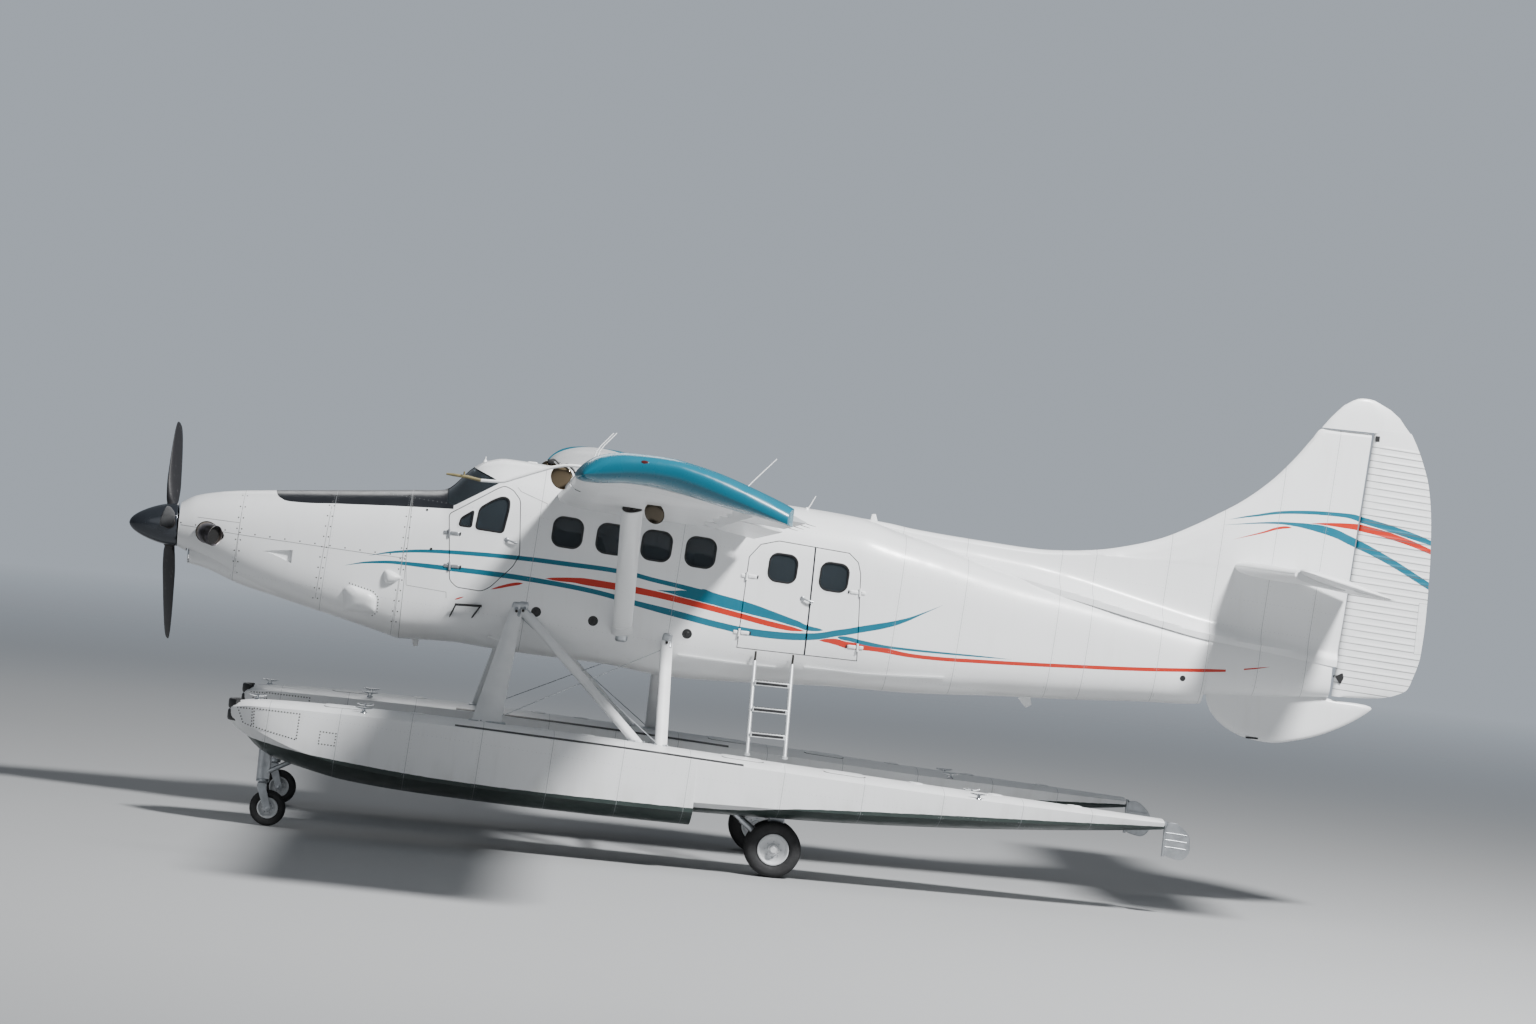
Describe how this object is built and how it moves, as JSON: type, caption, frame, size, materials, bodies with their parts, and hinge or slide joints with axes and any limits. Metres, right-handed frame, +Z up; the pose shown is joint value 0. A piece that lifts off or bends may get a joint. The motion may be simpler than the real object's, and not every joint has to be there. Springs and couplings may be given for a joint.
{
  "type": "single-engine turbine floatplane",
  "caption": "High-wing strut-braced turbine floatplane on twin amphibious floats, parked on its wheels, with opening doors and moving control surfaces.",
  "frame": {"origin": "on the ground under the middle of the overall length and span, with the aircraft on its wheels", "axes": "+X towards the tail, +Y to starboard, +Z up"},
  "size_m": [13.3045, 17.68, 5.38],
  "materials": {
    "white_paint": "gloss white paint, lightly weathered",
    "teal_paint": "gloss teal-blue paint",
    "blade_black": "satin black paint",
    "engine_metal": "bare cast metal",
    "hot_steel": "heat-stained steel",
    "gear_metal": "satin grey metal",
    "tyre_rubber": "matt black rubber",
    "seat_fabric": "dark woven cloth",
    "panel_plastic": "matt black"
  },
  "bodies": {
    "airframe": {"fuselage_shell": "white_paint", "tail_cone": "white_paint", "engine_cowling": "white_paint", "engine_block": "engine_metal", "exhaust_left": "hot_steel", "exhaust_right": "hot_steel", "instrument_panel": "panel_plastic", "pilot_seats": "seat_fabric", "passenger_seats": "seat_fabric", "fin": "white_paint", "tailplane": "white_paint", "ventral_fin": "white_paint", "wing_left": "white_paint", "wing_right": "white_paint", "wing_tip_left": "teal_paint", "wing_tip_right": "teal_paint", "wing_strut_left": "white_paint", "wing_strut_right": "white_paint", "float_left": "white_paint", "float_right": "white_paint", "float_strut_front_left": "white_paint", "float_strut_front_right": "white_paint", "float_strut_diagonal_left": "white_paint", "float_strut_diagonal_right": "white_paint", "float_strut_rear_left": "white_paint", "float_strut_rear_right": "white_paint", "spreader_bar_front": "white_paint", "spreader_bar_rear": "white_paint", "main_gear_leg_left": "gear_metal", "main_gear_leg_right": "gear_metal", "nose_gear_leg_left": "gear_metal", "nose_gear_leg_right": "gear_metal", "boarding_ladder": "gear_metal"},
    "propeller": {"spinner": "blade_black", "propeller_blades": "blade_black"},
    "rudder": {"rudder": "white_paint"},
    "elevator": {"elevator": "white_paint"},
    "aileron_left": {"aileron_left": "white_paint"},
    "aileron_right": {"aileron_right": "white_paint"},
    "flap_left": {"flap_left": "white_paint"},
    "flap_right": {"flap_right": "white_paint"},
    "pilot_door_left": {"pilot_door_left": "white_paint"},
    "pilot_door_right": {"pilot_door_right": "white_paint"},
    "cabin_door_front": {"cabin_door_front": "white_paint"},
    "cabin_door_rear": {"cabin_door_rear": "white_paint"},
    "cabin_door_right": {"cabin_door_right": "white_paint"},
    "nose_fork_left": {"nose_fork_left": "gear_metal"},
    "nose_wheel_left": {"nose_wheel_left": "tyre_rubber"},
    "main_wheels_left": {"main_wheels_left": "tyre_rubber"},
    "water_rudder_left": {"water_rudder_left": "gear_metal"},
    "nose_fork_right": {"nose_fork_right": "gear_metal"},
    "nose_wheel_right": {"nose_wheel_right": "tyre_rubber"},
    "main_wheels_right": {"main_wheels_right": "tyre_rubber"},
    "water_rudder_right": {"water_rudder_right": "gear_metal"}
  },
  "joints": [
    {"name": "propeller_spin", "type": "hinge", "parent": "airframe", "child": "propeller", "pos_m": [-6.238, 0, 2.828], "axis": [-0.9989, 0, -0.0471], "continuous": true},
    {"name": "rudder_turn", "type": "hinge", "parent": "airframe", "child": "rudder", "pos_m": [5.968, 0, 5.056], "axis": [0.0523, 0, 0.9986], "range_deg": [-25, 25]},
    {"name": "elevator_turn", "type": "hinge", "parent": "airframe", "child": "elevator", "pos_m": [5.342, 0, 3.475], "axis": [0, 1, 0], "range_deg": [-33, 7]},
    {"name": "aileron_left_turn", "type": "hinge", "parent": "airframe", "child": "aileron_left", "pos_m": [-0.8229, -6.93, 3.6684], "axis": [0, 0.9994, -0.0349], "range_deg": [-20, 20]},
    {"name": "aileron_right_turn", "type": "hinge", "parent": "airframe", "child": "aileron_right", "pos_m": [-0.8229, 6.93, 3.6684], "axis": [0, 0.9994, 0.0349], "range_deg": [-20, 20]},
    {"name": "flap_left_turn", "type": "hinge", "parent": "airframe", "child": "flap_left", "pos_m": [-0.8229, -3.17, 3.5371], "axis": [0, -0.9994, 0.0349], "range_deg": [-27, 13]},
    {"name": "flap_right_turn", "type": "hinge", "parent": "airframe", "child": "flap_right", "pos_m": [-0.8229, 3.17, 3.5371], "axis": [0, -0.9994, -0.0349], "range_deg": [-27, 13]},
    {"name": "pilot_door_left_swing", "type": "hinge", "parent": "airframe", "child": "pilot_door_left", "pos_m": [-3.399, -0.7445, 2.885], "axis": [0.1084, -0.0211, -0.9939], "range_deg": [0, 68]},
    {"name": "pilot_door_right_swing", "type": "hinge", "parent": "airframe", "child": "pilot_door_right", "pos_m": [-3.399, 0.7445, 2.885], "axis": [-0.1084, -0.0211, 0.9939], "range_deg": [0, 68]},
    {"name": "cabin_door_front_swing", "type": "hinge", "parent": "airframe", "child": "cabin_door_front", "pos_m": [-0.41, -0.799, 2.643], "axis": [-0.0315, 0.0105, -0.9995], "range_deg": [0, 65]},
    {"name": "cabin_door_rear_swing", "type": "hinge", "parent": "airframe", "child": "cabin_door_rear", "pos_m": [0.77, -0.7855, 2.6005], "axis": [-0.0616, -0.0235, 0.9978], "range_deg": [0, 110]},
    {"name": "cabin_door_right_swing", "type": "hinge", "parent": "airframe", "child": "cabin_door_right", "pos_m": [-0.41, 0.799, 2.643], "axis": [0.0315, 0.0105, 0.9995], "range_deg": [0, 65]},
    {"name": "nose_castor_left", "type": "hinge", "parent": "airframe", "child": "nose_fork_left", "pos_m": [-4.99, -1.5, 0.43], "axis": [0, 0, 1], "range_deg": [-60, 60]},
    {"name": "nose_wheel_spin_left", "type": "hinge", "parent": "nose_fork_left", "child": "nose_wheel_left", "pos_m": [-4.915, -1.5, 0.18], "axis": [0, 1, 0], "continuous": true},
    {"name": "main_wheels_spin_left", "type": "hinge", "parent": "airframe", "child": "main_wheels_left", "pos_m": [0.092, -1.5, 0.28], "axis": [0, 1, 0], "continuous": true},
    {"name": "water_rudder_turn_left", "type": "hinge", "parent": "airframe", "child": "water_rudder_left", "pos_m": [3.982, -1.5, 0.75], "axis": [0, 0, 1], "range_deg": [-30, 30]},
    {"name": "nose_castor_right", "type": "hinge", "parent": "airframe", "child": "nose_fork_right", "pos_m": [-4.99, 1.5, 0.43], "axis": [0, 0, 1], "range_deg": [-60, 60]},
    {"name": "nose_wheel_spin_right", "type": "hinge", "parent": "nose_fork_right", "child": "nose_wheel_right", "pos_m": [-4.915, 1.5, 0.18], "axis": [0, 1, 0], "continuous": true},
    {"name": "main_wheels_spin_right", "type": "hinge", "parent": "airframe", "child": "main_wheels_right", "pos_m": [0.092, 1.5, 0.28], "axis": [0, 1, 0], "continuous": true},
    {"name": "water_rudder_turn_right", "type": "hinge", "parent": "airframe", "child": "water_rudder_right", "pos_m": [3.982, 1.5, 0.75], "axis": [0, 0, 1], "range_deg": [-30, 30]}
  ],
  "couplings": [
    {"joint": "aileron_right_turn", "follows": "aileron_left_turn", "ratio": -1},
    {"joint": "flap_right_turn", "follows": "flap_left_turn", "ratio": 1},
    {"joint": "water_rudder_turn_right", "follows": "water_rudder_turn_left", "ratio": 1}
  ]
}
